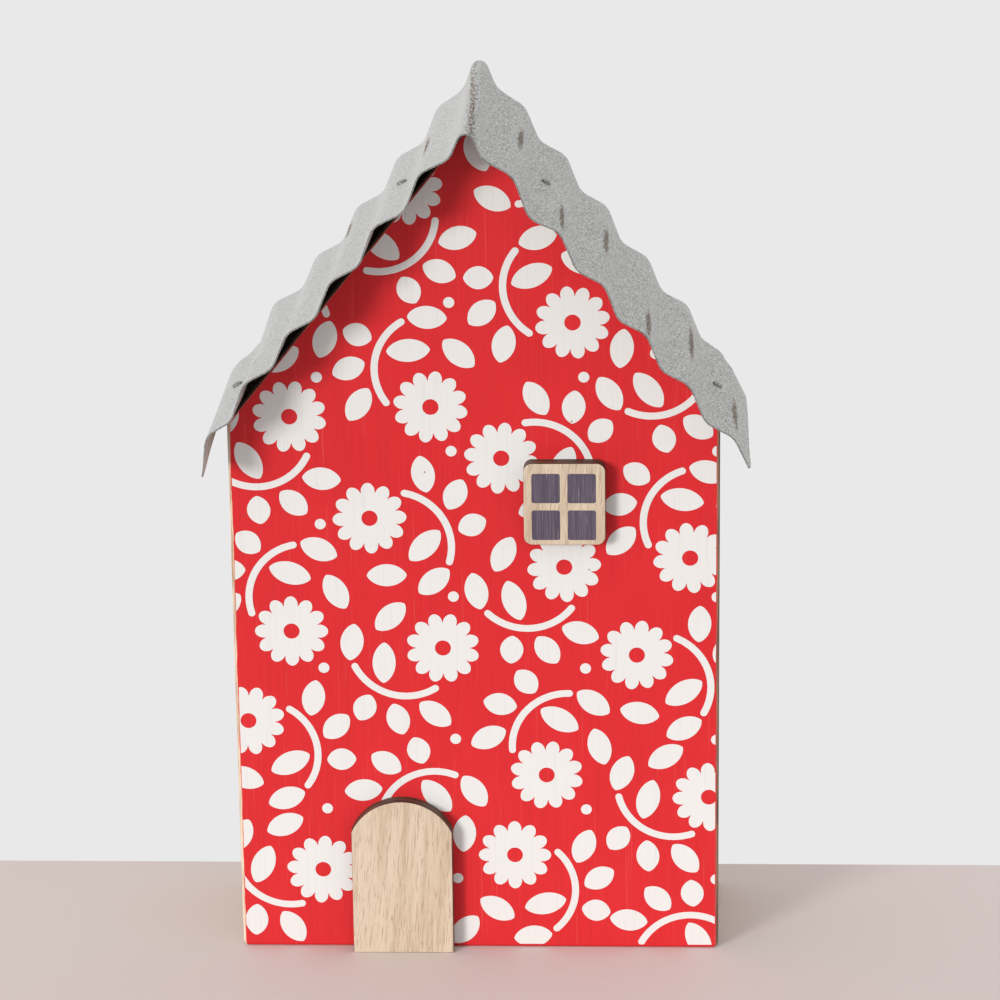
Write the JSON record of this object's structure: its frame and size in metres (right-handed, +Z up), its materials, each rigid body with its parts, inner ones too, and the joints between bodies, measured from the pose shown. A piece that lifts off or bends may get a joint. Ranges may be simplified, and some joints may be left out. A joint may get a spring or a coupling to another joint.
{
  "type": "ornamental house",
  "caption": "Small pitched-roof ornamental house: painted board box with a corrugated metal roof, an arched door board and a window board.",
  "frame": {"origin": "middle of the underside of the base, on the surface that the house stands on", "axes": "+X to the right of the front, +Y from the front to the back, +Z up to the ridge"},
  "size_m": [0.1664, 0.094, 0.2695],
  "materials": {
    "painted_board": "satin red paint with a printed off-white flower pattern on the front, worn to bare wood along the edges",
    "bare_board": "unpainted softwood, sawn and lightly sanded",
    "oak_board": "pale oak face with burnt dark brown cut edges",
    "galvanised_sheet": "dull galvanised steel sheet, rust showing along the crests",
    "nail_steel": "bright zinc-plated steel nails"
  },
  "bodies": {
    "root": {"front_panel": "painted_board", "back_panel": "bare_board", "left_wall": "bare_board", "right_wall": "bare_board", "floor_board": "bare_board", "left_roof_board": "bare_board", "right_roof_board": "bare_board", "front_brads": "nail_steel", "back_brads": "nail_steel", "roof_sheet": "galvanised_sheet", "roof_nails": "nail_steel", "door": "oak_board", "window": "oak_board"}
  },
  "joints": []
}
